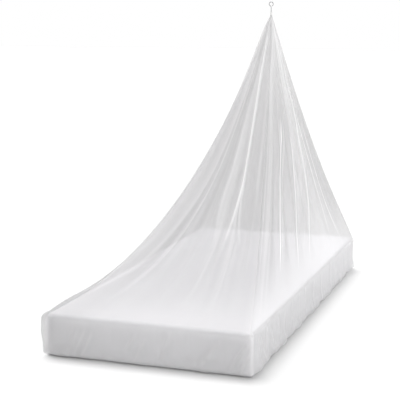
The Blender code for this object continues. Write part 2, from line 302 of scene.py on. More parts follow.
# Binding: the tape's wraps round the neck.
BINDING_FACETS = 40
BINDING_CAP = 0.0022  # thickness of its top, round the hook's stem
STEM_GAP = 0.0003
NET_ROOM = 0.0018  # between the gathered net's inside and the sleeve
GROOVE_WIDTH = 0.0004
GROOVE_DEPTH = 0.0005
END_FOLD = 0.0006
LEVEL = 0.00005  # vertices nearer to a height than this lie on it
SKIN = 0.0003  # and those nearer to the sleeve's radius than this are on its outside

# Hook: bent from round wire.
WIRE_RADIUS = 0.002
WIRE_FACETS = 16
WIRE_END = 0.0007  # rounding of its cut ends
RING_RADIUS = 0.0112
RING_CENTRE_Z = 1.467
RING_MOUTH = math.radians(-66)  # where the free end stops, from +X
RING_LEAVES = math.radians(240)  # where the wire leaves the ring, to bend back into the stem
RING_STEPS = 56
BEND_STEPS = 14
STEM_IN_BINDING = 0.009


# ---- settings


def colour(name, description, default):
    return FloatVectorProperty(
        name=name, description=description, default=default, subtype="COLOR", size=3, min=0, max=1,
    )


class NetSettings(bpy.types.PropertyGroup):
    # The net is white: its threads' grey is painted shade, and the crest colour that whitens its creases is a painted
    # highlight.
    tone: colour("Thread colour", "Colour of the net's threads", (0.448, 0.443, 0.448))
    crest_tone: colour("Crest colour", "Colour of the net where it is bunched into a crease", (1.0, 1.0, 1.0))
    cover: FloatProperty(
        name="Cover", description="Share of what is behind one flat layer that its threads hide", default=0.58,
        min=0.05, max=0.95, subtype="FACTOR",
    )
    shade: FloatProperty(
        name="Shade", description="How dark the net's own shade is, as a share of its cover", default=0.2, min=0,
        max=1, subtype="FACTOR",
    )
    mesh_size: FloatProperty(
        name="Mesh size", description="Distance between neighbouring threads", default=0.0016, unit="LENGTH",
    )
    crease_height: FloatProperty(
        name="Crease height", description="How high the creases stand, times their own size", default=1.0, min=0,
    )
    pleat_depth: FloatProperty(
        name="Pleat depth", description="Depth of the fine pleats under the neck", default=0.0013, unit="LENGTH",
    )


class MattressSettings(bpy.types.PropertyGroup):
    tone: colour("Cover colour", "Colour of the mattress's cotton cover", (0.805, 0.80, 0.822))
    crown: FloatProperty(
        name="Crown", description="How much lower the top is at its rim than in its middle", default=0.003,
        unit="LENGTH",
    )
    thread: FloatProperty(
        name="Thread", description="Width of the cover's threads", default=0.0009, unit="LENGTH",
    )


class HookSettings(bpy.types.PropertyGroup):
    tone: colour("Wire colour", "Colour of the bright wire", (0.40, 0.40, 0.41))
    tape_tone: colour("Tape colour", "Colour of the binding's woven tape", (0.93, 0.93, 0.92))
    wraps: IntProperty(name="Wraps", description="Turns of tape round the neck", default=4, min=1, max=8)


class StageSettings(bpy.types.PropertyGroup):
    key: FloatProperty(name="Key light", description="Strength of the soft light from above", default=2.9, min=0)
    fill: FloatProperty(
        name="Fill light", description="Strength of the soft lights from the left and the front", default=1.42, min=0,
    )
    side: FloatProperty(
        name="Side light", description="Power of the softbox by the head end, in watts", default=16, min=0,
    )
    sky: FloatProperty(name="Sky light", description="Strength of the light from all round", default=0.4, min=0)
    floor_tone: FloatProperty(name="Floor tone", description="How pale the floor is", default=0.69, min=0, max=1)


# ---- helpers


def node(tree, kind, inputs=None, **settings):
    """A new node, with its settings, and its inputs set to values or linked to other nodes' outputs."""
    made = tree.nodes.new(kind)
    for name, value in settings.items():
        setattr(made, name, value)
    return plugged(tree, made, inputs or {})


def plugged(tree, made, inputs):
    for name, term in inputs.items():
        if isinstance(term, bpy.types.NodeSocket):
            tree.links.new(term, made.inputs[name])
        else:
            made.inputs[name].default_value = term
    return made


def material(name):
    """A new material, its nodes and its Principled shader."""
    made = bpy.data.materials.new(name)
    made.use_nodes = True
    return made, made.node_tree, made.node_tree.nodes["Principled BSDF"]


def maths(tree, operation, *terms):
    return node(tree, "ShaderNodeMath", dict(enumerate(terms)), operation=operation).outputs[0]


def blend(tree, share, first, second):
    """A colour between two, by another node's output."""
    inputs = {"Factor": share, "A": (*first, 1.0), "B": (*second, 1.0)}
    return node(tree, "ShaderNodeMix", inputs, data_type="RGBA").outputs["Result"]


def mix_shaders(tree, share, first, second):
    """Two shaders mixed by the second one's share."""
    return node(tree, "ShaderNodeMixShader", {0: share, 1: first, 2: second}).outputs[0]


def places_on(tree):
    return node(tree, "ShaderNodeTexCoord").outputs["Object"]


def mapping(tree, source, scale=(1, 1, 1), location=(0, 0, 0)):
    inputs = {"Vector": source, "Scale": scale, "Location": location}
    return node(tree, "ShaderNodeMapping", inputs).outputs["Vector"]


def noise(tree, source, scale, detail=3.0):
    return node(tree, "ShaderNodeTexNoise", {"Vector": source, "Scale": scale, "Detail": detail}).outputs["Fac"]


def bump(tree, height, distance, strength, **normal):
    inputs = {"Height": height, "Distance": distance, "Strength": strength, **normal}
    return node(tree, "ShaderNodeBump", inputs).outputs["Normal"]


def threads(tree, places, pitch, along, sharp=0.5):
    """A band pattern of one set of a weave's threads: 1 on a thread's middle, 0 between threads."""
    split = node(tree, "ShaderNodeSeparateXYZ", {0: places})
    turned = maths(tree, "MULTIPLY", split.outputs[along], 2 * math.pi / pitch)
    wave = maths(tree, "MULTIPLY_ADD", maths(tree, "COSINE", turned), 0.5, 0.5)
    return maths(tree, "POWER", wave, sharp)


def smoothstep(low, high, values):
    t = np.clip((values - low) / (high - low), 0, 1)
    return t * t * (3 - 2 * t)


def between(comes, goes, values):
    """1 between two ramps and 0 outside them; each ramp is given by where it starts and ends."""
    return smoothstep(*comes, values) * (1 - smoothstep(*goes, values))


def start_clean():
    """Nothing selected, object mode: each operator starts from here."""
    if bpy.context.object is not None and bpy.context.object.mode != "OBJECT":
        bpy.ops.object.mode_set(mode="OBJECT")
    bpy.ops.object.select_all(action="DESELECT")


def pick(made, kind, wanted):
    """Edit mode, with just those faces or edges selected for which wanted is true."""
    bpy.ops.object.mode_set(mode="EDIT")
    bpy.ops.mesh.select_mode(type=kind)
    bpy.ops.mesh.select_all(action="DESELECT")
    bpy.ops.object.mode_set(mode="OBJECT")
    for part in made.data.polygons if kind == "FACE" else made.data.edges:
        part.select = wanted(part)
    bpy.ops.object.mode_set(mode="EDIT")


def finish_piece(made, node_name):
    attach(made, "root")
    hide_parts(node_name)
    made.select_set(False)


def grid_object(name, points, closed):
    """A mesh of quads over a grid of points, indexed [column, row]; closed joins the last column to the first."""
    columns, rows = points.shape[:2]
    index = np.arange(columns * rows).reshape(columns, rows)
    if closed:
        index = np.vstack([index, index[:1]])
    quads = np.stack([index[:-1, :-1], index[:-1, 1:], index[1:, 1:], index[1:, :-1]], axis=-1).reshape(-1, 4)
    mesh = bpy.data.meshes.new(name)
    mesh.from_pydata(points.reshape(-1, 3).tolist(), [], quads.tolist())
    mesh.update()
    made = bpy.data.objects.new(name, mesh)
    bpy.context.scene.collection.objects.link(made)
    mesh.shade_smooth()
    return made


# ---- the net's shape


def side_folds(side, along):
    """Each place along a side: its fold, and how far towards that fold's crest it stands, 0 in a valley, 1 on it."""
    crests = np.array([fold.at for fold in side.folds])
    valleys = np.array([-side.length / 2, *((crests[1:] + crests[:-1]) / 2), side.length / 2])
    which = np.clip(np.searchsorted(valleys, along, side="right") - 1, 0, len(crests) - 1)
    crest, before, after = crests[which], valleys[which], valleys[which + 1]
    away = np.where(along < crest, (crest - along) / (crest - before), (along - crest) / (after - crest))
    stands = 0.5 + 0.5 * np.cos(np.pi * np.clip(away, 0, 1))
    return which, stands


class Columns:
    """The net's columns round the mattress's outline: plain arrays, one number or pair for each column."""

    def __init__(self):
        from_fold = Fold._fields[1:]
        parts = {name: [] for name in ("edge", "outward", "middle", "stands", "place", *from_fold)}

        def add(**values):
            for name, value in values.items():
                parts[name].append(value)

        self.start, self.corners = {}, []
        travelled = 0.0
        for name, side in SIDES.items():
            out = np.array(side.faces, float)
            onward = np.array((-out[1], out[0]))
            count = round(side.length / COLUMN_SPACING[name])
            along = -side.length / 2 + side.length * np.arange(count) / count
            which, rise = side_folds(side, along)
            self.start[name] = travelled + side.length / 2
            add(
                edge=out * side.reach + onward * along[:, None],
                outward=np.repeat(out[None], count, axis=0),
                middle=np.cos(np.pi * along / side.length),
                stands=rise,
                place=travelled + side.length / 2 + along,
                **{key: np.array([getattr(fold, key) for fold in side.folds], float)[which] for key in from_fold},
            )
            travelled += side.length

            turn = np.arange(CORNER_COLUMNS) / CORNER_COLUMNS
            angle = turn * math.pi / 2
            swung = out * np.cos(angle)[:, None] + onward * np.sin(angle)[:, None]
            centre = out * (side.reach - CORNER_RADIUS) + onward * side.length / 2
            add(
                edge=centre + swung * CORNER_RADIUS,
                outward=swung,
                middle=np.zeros(CORNER_COLUMNS),
                stands=np.sin(math.pi * turn) ** 2,
                place=travelled + angle * CORNER_RADIUS,
                **{key: np.full(CORNER_COLUMNS, float(getattr(side.corner, key))) for key in from_fold},
            )
            self.corners.append(travelled + CORNER_RADIUS * math.pi / 4)
            travelled += CORNER_RADIUS * math.pi / 2
        self.round = travelled
        for name, values in parts.items():
            setattr(self, name, np.concatenate(values))
        self.count = len(self.place)

    def apart(self, place):
        """How far each column is from a place on the outline, the shorter way round, with its sign."""
        return (self.place - place + self.round / 2) % self.round - self.round / 2


def strips(columns):
    """The unfolded net: for each column and row its point and its fold's height, and for each row its share.

    A share is 0 at the neck, 1 where the strip lands, 1.1 over the edge, 2 down the side and 2.5 at the hem.
    """
    neck = np.array((0, NECK_Y))
    edge_z = MATTRESS_HEIGHT - EDGE_RADIUS
    over = EDGE_RADIUS + EDGE_CLEARANCE
    inset = columns.edge - columns.outward * EDGE_RADIUS
    lean = np.full(columns.count, math.pi / 4)
    for _ in range(LANDING_TRIES):  # the strip meets the rounded edge where their slopes agree
        lands = inset + columns.outward * (over * np.cos(lean))[:, None]
        lands_z = edge_z + over * np.sin(lean)
        run = np.linalg.norm(lands - neck, axis=1)
        towards = (lands - neck) / run[:, None]
        span = run - NECK_RADIUS
        slack = (SLACK_AT_NECK + SLACK_PER_SPAN * span) * (1 - SIDE_SAG * columns.middle)
        fall = NECK_Z - lands_z
        lowest = span / 2 + slack * np.arcsinh(fall / (2 * slack * np.sinh(span / (2 * slack))))
        slope = np.sinh((lowest - span) / slack)
        facing = np.maximum(np.sum(towards * columns.outward, axis=1), LEAST_FACING)
        lean = np.arctan2(facing, np.maximum(slope, LEAST_SLOPE))

    drop, rows, folds, shares = columns.drop, [], [], []

    def row(flat, height, fold, share):
        rows.append(np.column_stack([flat, np.broadcast_to(height, columns.count)]))
        folds.append(np.broadcast_to(fold, columns.count))
        shares.append(share)

    top = BINDING_HIGH.z - NET_UNDER_TOP
    for height in (top, (top + NECK_Z) / 2):
        row(neck + towards * NECK_RADIUS, height, 0.0, 0.0)
    for step in range(TENT_STEPS + 1):
        share = (step / TENT_STEPS) ** CLOSER_AT_NECK
        under = slack * (np.cosh(lowest / slack) - np.cosh((lowest - share * span) / slack))
        fold = columns.depth * math.sin(math.pi * share) ** 2 + drop * STANDS_AT_EDGE * share**6
        fold = (fold + columns.lift * np.sin(math.pi * share**columns.late)) * columns.stands
        far = span * share / FLARE_AT
        fold = fold + FLARE_PER_SPAN * span * far * np.exp(1 - far) * (1 - share)
        row(neck + towards * (NECK_RADIUS + span * share)[:, None], NECK_Z - under, fold, share)
    for step in range(1, EDGE_STEPS + 1):
        share = step / EDGE_STEPS
        flat = inset + columns.outward * (over * np.cos(lean * (1 - share)))[:, None]
        fold = drop * (STANDS_AT_EDGE + (1 - STANDS_AT_EDGE) * share**1.5) * columns.stands
        row(flat, edge_z + over * np.sin(lean * (1 - share)), fold, 1.0 + 0.1 * share)
    for step in range(1, DROP_STEPS + 1):
        share = 1 - step / DROP_STEPS
        height = EDGE_RADIUS + share * (edge_z - EDGE_RADIUS)
        hang = np.interp(share, *SIDE_BULGE)
        row(inset + columns.outward * over, height, drop * hang * columns.stands, 2.0 - 0.9 * share)
    for step in range(1, TUCK_STEPS + 1):
        share = step / TUCK_STEPS
        clear = EDGE_RADIUS + EDGE_CLEARANCE + (TUCK_CLEARANCE - EDGE_CLEARANCE) * share
        flat = inset + columns.outward * (clear * math.cos(TUCK_ANGLE * share))
        height = EDGE_RADIUS - clear * math.sin(TUCK_ANGLE * share)
        row(flat, height, SIDE_BULGE[1][0] * drop * (1 - share) ** 2 * columns.stands, 2.0 + 0.5 * share)
    return np.stack(rows, axis=1), np.stack(folds, axis=1), np.array(shares)


def follow_creases(columns, shares):
    """The place on the outline that each column points to, row by row: columns keep to the creases near them."""
    pulls = {corner: np.zeros(len(shares)) for corner in columns.corners}
    for crease in CREASES:
        foot = columns.start[crease.side] + crease.route[-1][1]
        pulls[foot] = columns.start[crease.side] + along_route(crease.route, shares) - foot
    fixed = sorted(pulls)
    order = CREASE_GAP * np.arange(len(fixed))
    reached = np.stack([place + pulls[place] for place in fixed]) - order[:, None]
    reached = np.maximum.accumulate(reached) + order[:, None]  # a crease never passes the next one
    around = np.array([fixed[-1] - columns.round, *fixed, fixed[0] + columns.round])
    rows = []
    for reach in reached.T:
        reach = np.array([reach[-1] - columns.round, *reach, reach[0] + columns.round])
        rows.append(columns.place + np.interp(columns.place, around, reach - around))
    return np.stack(rows, axis=1)


def resampled(columns, places, values):
    """A grid's values, read row by row at other places along the outline."""
    ring = np.append(columns.place, columns.round)
    closed = np.concatenate([values, values[:1]])
    rows = []
    for row in range(places.shape[1]):
        at = places[:, row] % columns.round
        rows.append(np.stack([np.interp(at, ring, closed[:, row, axis]) for axis in range(values.shape[2])], axis=1))
    return np.stack(rows, axis=1)


def outward_normals(points):
    down = np.empty_like(points)
    down[:, 1:-1] = points[:, 2:] - points[:, :-2]
    down[:, 0], down[:, -1] = points[:, 1] - points[:, 0], points[:, -1] - points[:, -2]
    across = np.roll(points, -1, axis=0) - np.roll(points, 1, axis=0)
    out = np.cross(down, across)
    return out / np.maximum(np.linalg.norm(out, axis=2, keepdims=True), 1e-12)


def ridge(columns, places, shares, at, width):
    """How near each point is to a crease: 1 on it, less within its width. at is the crease's place in each row."""
    apart = (places - at + columns.round / 2) % columns.round - columns.round / 2
    spread = np.clip(shares, 0.02, 1.0)  # strips draw together towards the neck, and a crease keeps its own width
    return np.exp(-((apart * spread / (width * np.clip(spread / CREASE_NARROWS, 0.1, 1))) ** 2))


def along_route(route, shares):
    """A crease's place on its side in each row: a smooth curve through its route's points."""
    share, place = np.array(route).T
    slope = np.gradient(place, share)
    part = np.clip(np.searchsorted(share, shares) - 1, 0, len(share) - 2)
    span = share[part + 1] - share[part]
    t = np.clip((shares - share[part]) / span, 0, 1)
    start = (2 * t**3 - 3 * t**2 + 1) * place[part] + (t**3 - 2 * t**2 + t) * span * slope[part]
    return start + (3 * t**2 - 2 * t**3) * place[part + 1] + (t**3 - t**2) * span * slope[part + 1]


def routes(columns, shares):
    """Each crease with its place on the outline in each row, and how far it shows there."""
    for crease in CREASES:
        at = columns.start[crease.side] + along_route(crease.route, shares)
        start, end = crease.route[0][0], crease.route[-1][0]
        yield crease, at, between(start + CREASE_COMES, end + CREASE_GOES, shares)


def tightened(columns, places, shares, folds):
    """The folds' heights, with the cloth drawn tight along each crease, so that it runs straight across them."""
    for crease, at, shown in routes(columns, shares):
        near = ridge(columns, places, shares, at, FLAT_BY_CREASE) * shown
        folds = folds + near * (TIGHT_FOLD * np.sin(math.pi * np.clip(shares, 0, 1)) ** 2 - folds)
    return folds


def crease_lines(columns, places, shares, settings):
    """The creases' and pleats' height, the pleats' bunching and the creases' own, for each column and row."""
    height, bunch, creased = (np.zeros_like(places) for _ in range(3))
    for crease, at, shown in routes(columns, shares):
        near = ridge(columns, places, shares, at, crease.width) * shown
        height += near * crease.height * settings.crease_height
        creased += near * crease.bunch
    seeded = np.random.RandomState(PLEAT_SEED)
    for kind in PLEATS:
        for _ in range(kind.count):
            at = seeded.uniform(0, columns.round)
            width = seeded.uniform(*kind.widths)
            ends = seeded.uniform(*kind.ends)
            strength = seeded.uniform(*PLEAT_STRENGTHS)
            shown = 1 - smoothstep(*(ends + PLEAT_GOES), shares)
            near = ridge(columns, columns.place[:, None], shares, at, width) * shown * strength
            height += near * kind.depth * settings.pleat_depth * np.interp(shares, *PLEAT_GROWS)
            bunch += near * kind.tight * seeded.choice(PLEAT_BUNCHES)
    for corner in columns.corners:
        near = np.exp(-((columns.apart(corner) / CORNER_SPREAD) ** 2))
        creased += CORNER_BUNCH * near[:, None] * smoothstep(*CORNERS_BUNCH, shares)[None, :]
    return height, bunch, creased


def side_wrinkles(columns, points, shares):
    """Slanting wrinkles and a faint ripple down the sides: their height, and the extra layers along each wrinkle's
    lower flank, a painted shade.
    """
    out, painted_shade_layers = np.zeros(points.shape[:2]), np.zeros(points.shape[:2])
    down = points[..., 2]
    on_side = between(SIDE_COMES, SIDE_GOES, shares)
    for wrinkle in WRINKLES:
        start, end = np.array(wrinkle.start), np.array(wrinkle.end)
        length = np.linalg.norm(end - start)
        line = (end - start) / length
        at = columns.apart(columns.start[wrinkle.side] + start[0])[:, None]
        along = at * line[0] + (down - start[1]) * line[1]
        beside = at * line[1] - (down - start[1]) * line[0]
        ends = between(WRINKLE_COMES, length - WRINKLE_COMES[::-1], along)
        out += wrinkle.depth * ends * np.exp(-((beside / wrinkle.width) ** 2)) * on_side[None, :]
        # Painted shade: extra net layers along the wrinkle's lower flank draw a darker line where its shade falls.
        behind = (beside + WRINKLE_TURN * wrinkle.width) / (wrinkle.width * WRINKLE_TURN)
        painted_shade_layers += PAINTED_WRINKLE_SHADE * ends * np.exp(-(behind**2)) * on_side[None, :]
    seeded = np.random.RandomState(PLEAT_SEED + 1)
    ripple = np.zeros(columns.count)
    for _ in range(RIPPLES):
        turned = 2 * math.pi * seeded.randint(*RIPPLE_TURNS) * columns.place / columns.round
        ripple += np.cos(turned + seeded.uniform(0, RIPPLE_STARTS)) / math.sqrt(RIPPLES)
    return out + RIPPLE_DEPTH * np.clip(1 + ripple, 0, 2)[:, None] * on_side[None, :], painted_shade_layers


def hem_waves(columns, shares):
    """How far the hem's turn under the mattress is lifted and let out along its length."""
    wave = np.zeros(columns.count)
    for length, high in HEM_WAVES:
        turned = 2 * math.pi * round(columns.round / length) * columns.place / columns.round
        wave += high * (0.5 + 0.5 * np.sin(turned + 40 * length))  # each wave starts at a place of its own
    return wave[:, None] * between(HEM_COMES, HEM_GOES, shares)[None, :]


def spare(columns, kind):
    """One of the values in SPARE at each column, changing evenly from place to place."""
    around = [columns.start[knot.side] + knot.at for knot in SPARE]
    amounts = [getattr(knot, kind) for knot in SPARE]
    return np.interp(columns.place, around, amounts, period=columns.round)


# ---- materials


def net_material(settings):
    """Sheer netting: threads that light passes through, with clear gaps that close up where the cloth is bunched."""
    made, tree, shader = material("sheer_net")
    tree.nodes.remove(shader)
    bunch = node(tree, "ShaderNodeAttribute", attribute_name="bunch").outputs["Fac"]
    crest = node(tree, "ShaderNodeAttribute", attribute_name="crest").outputs["Fac"]
    places = node(tree, "ShaderNodeUVMap", uv_map="cut").outputs["UV"]
    warp, weft = (threads(tree, places, settings.mesh_size, along, 2.0) for along in (0, 1))
    weave = maths(tree, "MAXIMUM", warp, weft)
    # Painted light: the crest attribute turns the grey threads (painted shade) white, as a painted highlight on
    # creases and gathers and as painted light where the net lies on the cover.
    tone = blend(tree, crest, settings.tone, settings.crest_tone)
    cloth = {"Color": tone, "Normal": bump(tree, weave, 0.0001, 0.15)}
    lit = node(tree, "ShaderNodeBsdfDiffuse", cloth).outputs[0]
    through = node(tree, "ShaderNodeBsdfTranslucent", cloth).outputs[0]
    thread = mix_shaders(tree, THREAD_PASSES, lit, through)

    # Share covered: 1 - (1 - cover) ** layers, where layers counts the bunching and how far the cloth is turned away.
    edge_on = node(tree, "ShaderNodeLayerWeight", {"Blend": 0.5}).outputs["Facing"]
    facing = maths(tree, "MULTIPLY_ADD", edge_on, -TURNED_AWAY, 1.0)
    woven = maths(tree, "MULTIPLY_ADD", weave, *WEAVE_LAYERS)
    layers = maths(tree, "MULTIPLY", maths(tree, "DIVIDE", bunch, facing), woven)
    covered = maths(tree, "SUBTRACT", 1.0, maths(tree, "POWER", 1.0 - settings.cover, layers))
    # Light scatters on through fine netting, so the shade it casts is fainter than what it hides.
    in_shade = node(tree, "ShaderNodeLightPath").outputs["Is Shadow Ray"]
    casts = maths(tree, "MULTIPLY_ADD", in_shade, settings.shade - 1.0, 1.0)
    clear = node(tree, "ShaderNodeBsdfTransparent").outputs[0]
    surface = mix_shaders(tree, maths(tree, "MULTIPLY", covered, casts), clear, thread)
    plugged(tree, tree.nodes["Material Output"], {"Surface": surface})
    return made


def cover_material(settings):
    """White cotton cover: a plain weave with a soft sheen, a little uneven in tone."""
    made, tree, shader = material("cotton_cover")
    places = places_on(tree)
    across, along, upright = (threads(tree, places, settings.thread, axis) for axis in range(3))
    weave = maths(tree, "MULTIPLY", maths(tree, "MAXIMUM", across, along), upright)
    soft = noise(tree, places, 9.0)
    slub = noise(tree, mapping(tree, places, scale=(400, 30, 400)), 1.0)
    uneven = maths(tree, "MULTIPLY_ADD", slub, 0.35, maths(tree, "MULTIPLY", soft, 0.65))
    darker, paler = ([min(value * part, 1.0) for value in settings.tone] for part in (0.965, 1.03))
    plugged(tree, shader, {
        "Base Color": blend(tree, uneven, darker, paler),
        "Roughness": 0.88,
        "Sheen Weight": 0.15,
        "Sheen Roughness": 0.5,
        "Normal": bump(tree, weave, 0.00015, 0.35, Normal=bump(tree, soft, 0.004, 0.25)),
    })
    return made


def tape_material(settings):
    """White woven tape: fine ribs along its length and a twill's slant across them."""
    made, tree, shader = material("woven_tape")
    centred = mapping(tree, places_on(tree), location=(0, -NECK_Y, 0))
    x, y, z = node(tree, "ShaderNodeSeparateXYZ", {0: centred}).outputs
    slant = maths(tree, "MULTIPLY_ADD", maths(tree, "ARCTAN2", y, x), 22.0, maths(tree, "MULTIPLY", z, 5200.0))
    twill = maths(tree, "MULTIPLY_ADD", maths(tree, "SINE", slant), 0.5, 0.5)
    plugged(tree, shader, {
        "Base Color": blend(tree, twill, [value * 0.9 for value in settings.tape_tone], settings.tape_tone),
        "Roughness": 0.6,
        "Normal": bump(tree, twill, 0.0002, 0.5),
    })
    return made


def wire_material(settings):
    """Bright drawn wire: fine lines along it, slightly uneven in its shine."""
    made, tree, shader = material("drawn_wire")
    lines = noise(tree, mapping(tree, places_on(tree), scale=(1, 9, 1)), 900.0, 2.0)
    plugged(tree, shader, {
        "Base Color": (*settings.tone, 1.0),
        "Metallic": 1.0,
        "Roughness": maths(tree, "MULTIPLY_ADD", lines, 0.2, 0.38),
        "Normal": bump(tree, lines, 0.00005, 0.4),
    })
    return made


def floor_material(settings):
    made, tree, shader = material("pale_floor")
    tone = (*(settings.floor_tone,) * 3, 1.0)
    plugged(tree, shader, {"Base Color": tone, "Roughness": 1.0, "Specular IOR Level": 0.0})
    return made


# ---- operators


class CANOPY_OT_net(bpy.types.Operator):
    """Hangs the net from its neck: catenary strips with their folds, creases, fine pleats and tucked hem"""

    bl_idname = "canopy.net"
    bl_label = "Hang the Net"

    def execute(self, context):
        start_clean()
        settings = context.scene.canopy_net
        columns = Columns()
        points, folds, shares = strips(columns)
        places = follow_creases(columns, shares)
        points = resampled(columns, places, points)
        folds = resampled(columns, places, folds[..., None])[..., 0]
        folds = tightened(columns, places, shares, folds)
        height, bunch, creased = crease_lines(columns, places, shares, settings)
        out, painted_shade_layers = side_wrinkles(columns, points, shares)
        height = height + out + hem_waves(columns, shares)
        points = points + outward_normals(points) * (folds + height + NET_MIDDLE)[..., None]

        made = grid_object("bed_net", points, closed=True)
        self.spread_cloth(made, columns, places, points, shares, bunch, creased, painted_shade_layers)
        made.data.materials.append(net_material(settings))
        finish_piece(made, "net_canopy")
        return {"FINISHED"}

    def spread_cloth(self, made, columns, places, points, shares, bunch, creased, painted_shade_layers):
        """The cut's own coordinates, how many layers of net lie together, and where light is painted on them: a
        painted highlight on creases and gathers, and paler net on its way down and over the cover.
        """
        mesh = made.data
        run = np.concatenate([
            np.zeros((columns.count, 1)),
            np.cumsum(np.linalg.norm(np.diff(points, axis=1), axis=2), axis=1),
        ], axis=1)
        share = np.clip(shares, LEAST_SHARE, 1.0)
        gathered = (GATHER_AT_NECK + (1 - GATHER_AT_NECK) * share) / share
        thinner = 2 - smoothstep(*GATHERS_EVEN, shares)
        full = spare(columns, "full")[:, None] ** thinner[None, :]
        layers = gathered[None, :] * (np.maximum(1 + bunch, LEAST_LAYERS) * full + creased) + painted_shade_layers
        layers = layers + spare(columns, "folded")[:, None] * smoothstep(*FOLDED_ROUND, shares)
        # Painted highlight: the cloth is drawn whiter where its layers bunch together and where it is gathered at the
        # neck.
        painted_highlight = PAINTED_HIGHLIGHT_PER_LAYER * (creased + np.maximum(bunch, 0))
        painted_highlight = painted_highlight + PAINTED_HIGHLIGHT_AT_NECK * np.minimum(gathered - 1, MOST_AT_NECK)
        # Painted light: the net is drawn paler by the table's pale on its way down, and paler still where it lies on
        # the white cover.
        on_top, over_edge = smoothstep(*PAINTED_COVER_LIGHT_ON_TOP, shares), smoothstep(*PAINTED_COVER_LIGHT_OVER_EDGE, shares)
        painted_cover_light_share = PAINTED_LIGHT_OVER_TOP * on_top + (1 - PAINTED_LIGHT_OVER_TOP) * over_edge
        pale = spare(columns, "pale")[:, None] * (1 - painted_cover_light_share) + spare(columns, "lies")[:, None] * painted_cover_light_share
        # crest carries all of this painted light into the net's colour.
        crest = 1 - np.exp(-painted_highlight - pale)
        for name, values in (("bunch", layers), ("crest", crest)):
            layer = mesh.attributes.new(name, "FLOAT", "POINT")
            layer.data.foreach_set("value", values.astype(np.float32).ravel())
        across = places * CUT_WIDTH / columns.round
        corners = np.empty(len(mesh.loops), np.int32)
        mesh.loops.foreach_get("vertex_index", corners)
        flat = np.column_stack([across.ravel()[corners], run.ravel()[corners]])
        last = np.repeat(np.arange(len(mesh.polygons)) >= (columns.count - 1) * (len(shares) - 1), 4)
        wraps = last & (corners < len(shares))  # the seam's far side goes on past the cloth's width
        flat[wraps, 0] += CUT_WIDTH
        cut = mesh.uv_layers.new(name="cut")
        cut.data.foreach_set("uv", flat.astype(np.float32).ravel())


class CANOPY_OT_mattress(bpy.types.Operator):
    """Makes the single mattress: a foam block in a cotton cover, slightly crowned, flat where it rests"""

    bl_idname = "canopy.mattress"
    bl_label = "Make the Mattress"

    def execute(self, context):
        start_clean()
        settings = context.scene.canopy_mattress
        bpy.ops.mesh.primitive_cube_add(size=1.0, location=(0, 0, MATTRESS_HEIGHT / 2))
        made = context.object
        made.name = made.data.name = "padded_mattress"
        made.scale = (MATTRESS_WIDTH, MATTRESS_LENGTH, MATTRESS_HEIGHT)
        bpy.ops.object.transform_apply(location=True, rotation=True, scale=True)
        self.round_edges(made, CORNER_RADIUS, upright=True)
        self.round_edges(made, EDGE_RADIUS, upright=False)
        self.divide(made)
        self.shape(made, settings)
        made.data.shade_smooth()
        made.data.materials.append(cover_material(settings))
        finish_piece(made, "mattress")
        return {"FINISHED"}

    def round_edges(self, made, width, upright):
        def wanted(edge):
            ends = [made.data.vertices[i].co for i in edge.vertices]
            return (abs(ends[0].z - ends[1].z) > 0.001) == upright

        pick(made, "EDGE", wanted)
        bpy.ops.mesh.bevel(offset=width, segments=BEVEL_STEPS, profile=0.5, offset_type="OFFSET")
        bpy.ops.object.mode_set(mode="OBJECT")

    def divide(self, made):
        """Cuts the block across at even places, so that its faces can crown and crumple."""
        bpy.ops.object.mode_set(mode="EDIT")
        for axis, step in enumerate(MATTRESS_CUTS):
            low, high = MATTRESS_LOW[axis], MATTRESS_HIGH[axis]
            count = round((high - low) / step)
            for cut in range(1, count):
                place, normal = [0.0, 0.0, 0.0], [0, 0, 0]
                place[axis] = low + (high - low) * cut / count + CUTS_SHIFT
                normal[axis] = 1
                bpy.ops.mesh.select_all(action="SELECT")
                bpy.ops.mesh.bisect(plane_co=place, plane_no=normal)
        bpy.ops.mesh.select_all(action="SELECT")
        bpy.ops.mesh.normals_make_consistent(inside=False)
        bpy.ops.object.mode_set(mode="OBJECT")

    def shape(self, made, settings):
        """Crowns the top, and lets the cover sink in softly between its places of strain."""
        mesh = made.data
        spots = np.empty(len(mesh.vertices) * 3)
        mesh.vertices.foreach_get("co", spots)
        spots = spots.reshape(-1, 3)
        x, y, z = spots.T
        across = np.clip(np.abs(x) / (MATTRESS_WIDTH / 2), 0, 1)
        along = np.clip(np.abs(y) / (MATTRESS_LENGTH / 2), 0, 1)
        rim = np.maximum(across, along) ** 4
        high = smoothstep(0.6, 1.0, z / MATTRESS_HEIGHT)
        crumple = 0.5 + 0.5 * np.sin(11 * x + 3 * np.sin(7 * y)) * np.sin(9 * y + 2 * np.sin(8 * x + 1))
        z = z - high * (settings.crown * rim + RUMPLE * crumple)
        side = np.sin(math.pi * np.clip(z / MATTRESS_HEIGHT, 0, 1)) ** 0.7
        drawn = RIM_DRAWN_IN * (1 - side) * smoothstep(0.004, 0.03, z)
        spots[:, 0] = x - np.sign(x) * drawn * smoothstep(0.9, 1.0, across)
        spots[:, 1] = y - np.sign(y) * drawn * smoothstep(0.95, 1.0, along)
        spots[:, 2] = z
        mesh.vertices.foreach_set("co", spots.ravel())
        mesh.update()


